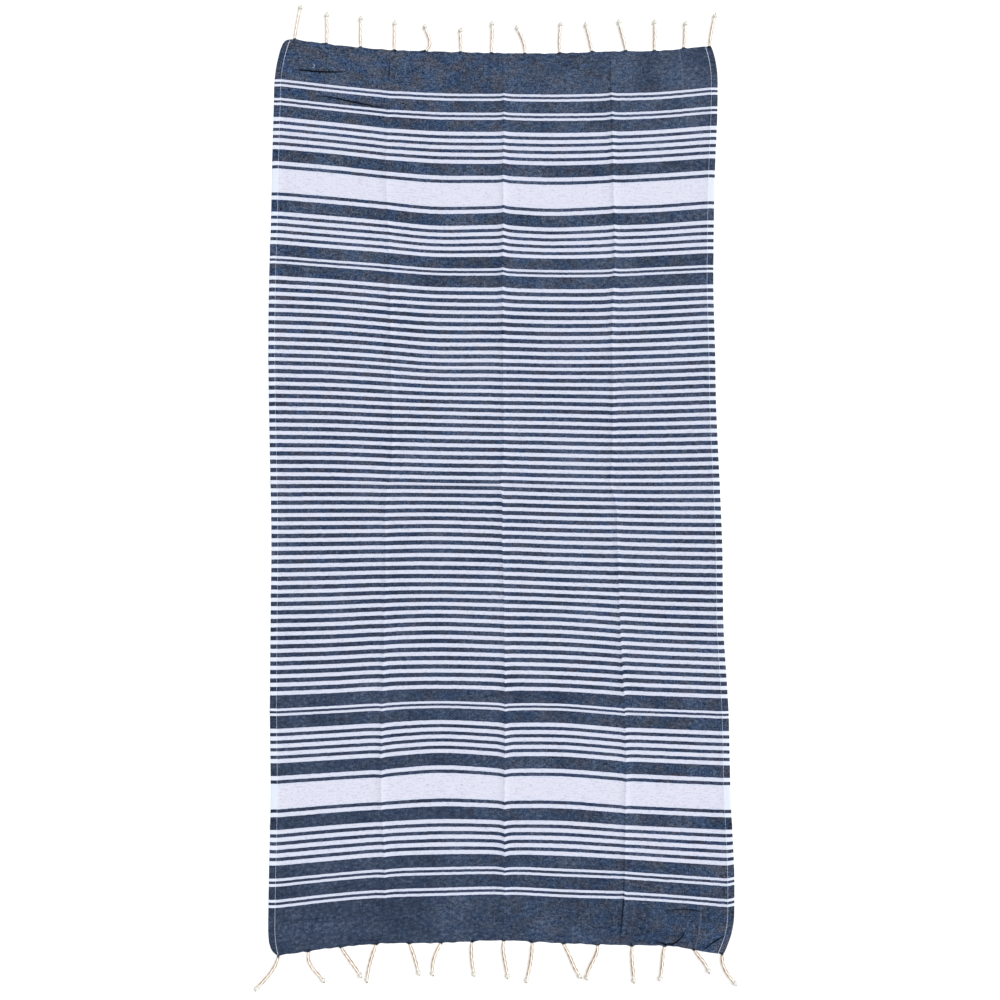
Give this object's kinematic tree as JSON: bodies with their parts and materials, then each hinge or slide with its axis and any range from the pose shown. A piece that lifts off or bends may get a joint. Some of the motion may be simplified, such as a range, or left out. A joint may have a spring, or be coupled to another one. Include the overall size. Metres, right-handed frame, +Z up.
{
  "type": "hammam towel",
  "caption": "Flat-woven striped bath towel laid out flat, with hemmed long sides, fold creases and knotted corded fringes at both ends.",
  "frame": {"origin": "middle of the towel's reach, cords included, on the surface that it lies on", "axes": "+Y along the towel towards the top of the picture, +X across it towards the right of the picture, +Z up, out of the visible face"},
  "size_m": [1.031, 2.1688, 0.008],
  "materials": {
    "towel_cloth": "plain-woven cotton, indigo-blue chambray ground with white and pale grey weft stripes, matt",
    "fringe_yarn": "natural cotton yarn, loosely twisted and knotted, matt"
  },
  "bodies": {
    "root": {"cloth": "towel_cloth", "fringe_top": "fringe_yarn", "fringe_bottom": "fringe_yarn"}
  },
  "joints": []
}
